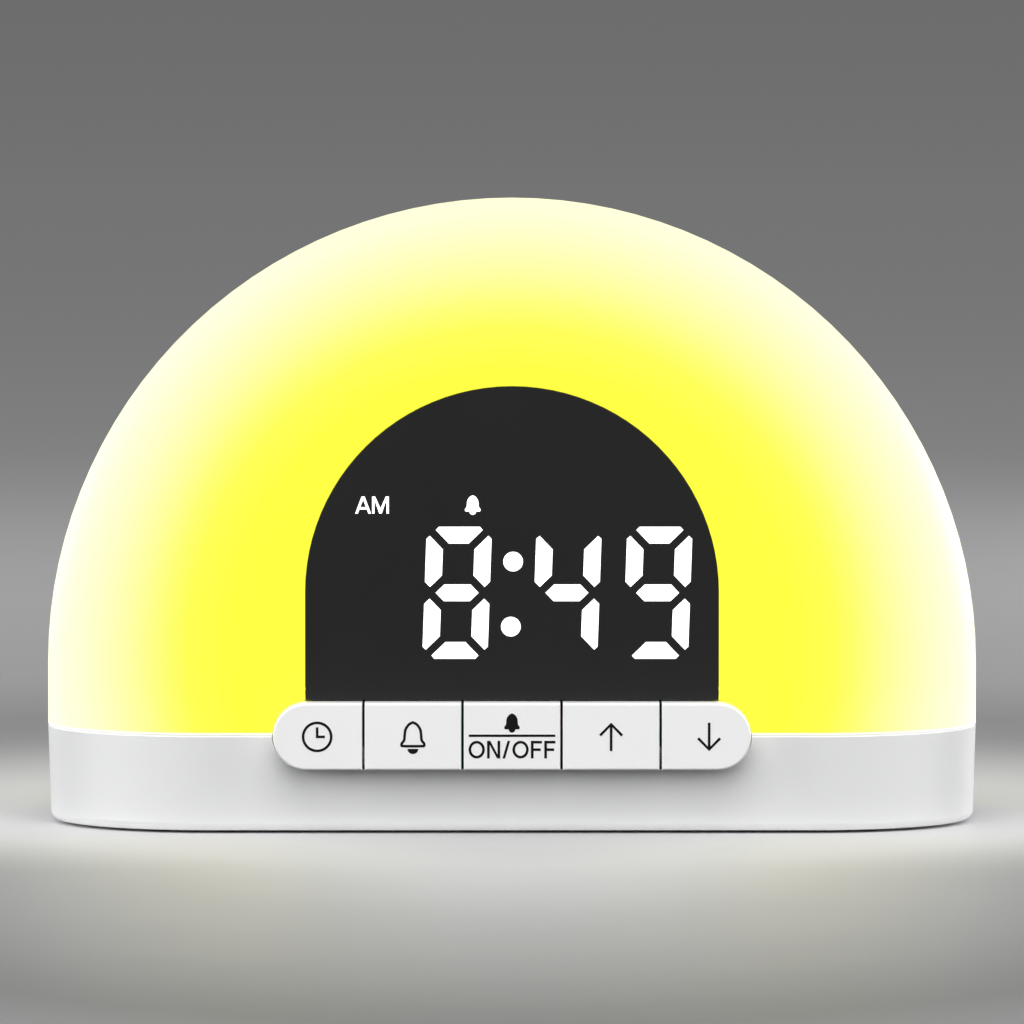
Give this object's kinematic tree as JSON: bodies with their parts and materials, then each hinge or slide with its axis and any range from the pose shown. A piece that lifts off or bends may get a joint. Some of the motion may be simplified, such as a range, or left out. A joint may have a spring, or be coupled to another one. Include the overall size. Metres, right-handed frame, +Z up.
{
  "type": "sunrise alarm clock",
  "caption": "Bedside sunrise alarm clock: half-disc light diffuser on a low base, arched digital display, row of push keys, cell door below.",
  "frame": {"origin": "on the table under the middle of the body: the plane of the feet's undersides, half-way across the width and midway between the body's flat front and back", "axes": "+X to the right of a person who faces the display, +Y to the back, +Z up; the display faces -Y"},
  "size_m": [0.165, 0.0625, 0.1109],
  "materials": {
    "glow_diffuser": "translucent diffuser, lit from inside, satin",
    "white_shell": "fine satin moulding",
    "white_key": "satin moulding with dark printed signs",
    "smoked_lens": "smoked, smooth",
    "black_moulding": "matt",
    "lit_segment": "white, lit",
    "circuit_board": "solder mask",
    "white_inner": "matt white, reflecting",
    "bright_metal": "tinned",
    "speaker_paper": "paper and foam",
    "foot_rubber": "matt",
    "screw_steel": "zinc plated",
    "ribbon": "flat cable"
  },
  "bodies": {
    "body": {"diffuser_dome": "glow_diffuser", "base_housing": "white_shell", "bottom_cover": "white_shell", "display_lens": "smoked_lens", "display_case": "black_moulding", "digit_block": "black_moulding", "controller_chip": "black_moulding", "socket_tongue": "black_moulding", "hour_tens_segments": "lit_segment", "hour_units_segments": "lit_segment", "minute_tens_segments": "lit_segment", "minute_units_segments": "lit_segment", "colon_dots": "lit_segment", "status_windows": "lit_segment", "display_leds": "lit_segment", "front_lamps": "lit_segment", "rear_lamps": "lit_segment", "display_board": "circuit_board", "button_board": "circuit_board", "main_board": "circuit_board", "light_tower": "white_inner", "lamp_board": "white_inner", "power_socket": "bright_metal", "capacitors": "bright_metal", "switch_bodies": "bright_metal", "speaker_frame": "bright_metal", "speaker_magnet": "bright_metal", "backup_cell": "bright_metal", "cell_contacts": "bright_metal", "speaker_cone": "speaker_paper", "speaker_gasket": "speaker_paper", "rubber_feet": "foot_rubber", "cover_screws": "screw_steel", "tower_screws": "screw_steel", "case_screws": "screw_steel", "display_screws": "screw_steel", "lamp_screws": "screw_steel", "main_board_screws": "screw_steel", "button_board_screws": "screw_steel", "lamp_ribbon": "ribbon", "display_ribbon": "ribbon", "button_ribbon": "ribbon"},
    "time_key": {"time_key": "white_key", "time_stem": "black_moulding"},
    "alarm_key": {"alarm_key": "white_key", "alarm_stem": "black_moulding"},
    "alarm_switch_key": {"alarm_switch_key": "white_key", "alarm_switch_stem": "black_moulding"},
    "up_key": {"up_key": "white_key", "up_stem": "black_moulding"},
    "down_key": {"down_key": "white_key", "down_stem": "black_moulding"},
    "cell_door": {"battery_door": "white_shell"}
  },
  "joints": [
    {"name": "time_press", "type": "slide", "parent": "body", "child": "time_key", "axis": [0, 1, 0], "range_m": [0, 0.0005], "stiffness_N_per_m": 300, "springref_m": -0.002},
    {"name": "alarm_press", "type": "slide", "parent": "body", "child": "alarm_key", "axis": [0, 1, 0], "range_m": [0, 0.0005], "stiffness_N_per_m": 300, "springref_m": -0.002},
    {"name": "alarm_switch_press", "type": "slide", "parent": "body", "child": "alarm_switch_key", "axis": [0, 1, 0], "range_m": [0, 0.0005], "stiffness_N_per_m": 300, "springref_m": -0.002},
    {"name": "up_press", "type": "slide", "parent": "body", "child": "up_key", "axis": [0, 1, 0], "range_m": [0, 0.0005], "stiffness_N_per_m": 300, "springref_m": -0.002},
    {"name": "down_press", "type": "slide", "parent": "body", "child": "down_key", "axis": [0, 1, 0], "range_m": [0, 0.0005], "stiffness_N_per_m": 300, "springref_m": -0.002},
    {"name": "cell_door_turn", "type": "hinge", "parent": "body", "child": "cell_door", "pos_m": [-0.046, 0, 0.0005], "axis": [0, 0, -1], "range_deg": [0, 45]}
  ]
}
